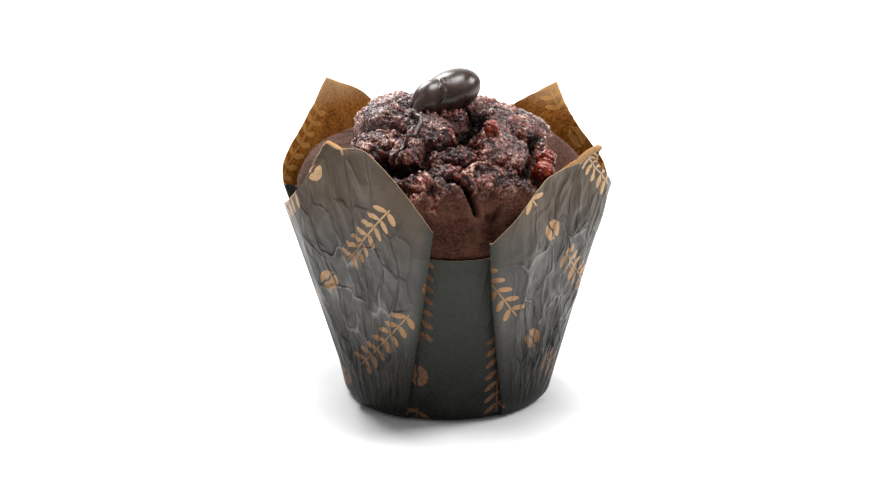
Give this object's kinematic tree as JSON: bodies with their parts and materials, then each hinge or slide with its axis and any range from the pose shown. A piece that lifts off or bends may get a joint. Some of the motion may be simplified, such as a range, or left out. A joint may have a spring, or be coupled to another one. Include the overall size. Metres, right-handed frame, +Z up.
{
  "type": "muffin in a tulip paper case",
  "caption": "Baked chocolate muffin with a cracked dome, standing in a folded tulip paper case, with a glossy dollop of chocolate sauce on top.",
  "frame": {"origin": "centre of the case's flat underside, on the surface it stands on", "axes": "+Z up, out of the dome; -Y is the front, where one plain panel of the case shows between two petals; +X is to the right seen from the front"},
  "size_m": [0.0812, 0.0851, 0.0822],
  "materials": {
    "crumb": "baked chocolate crust, matte skin with a glossy broken top",
    "paper": "greaseproof paper, black printed outside, brown inside",
    "sauce": "set chocolate sauce, glossy",
    "chunk": "glazed, sugary, translucent edge"
  },
  "bodies": {
    "root": {"muffin": "crumb", "paper_case": "paper", "chocolate_dollop": "sauce", "chunk_upper_right": "chunk", "chunk_lower_right": "chunk", "chunk_centre": "chunk"}
  },
  "joints": []
}
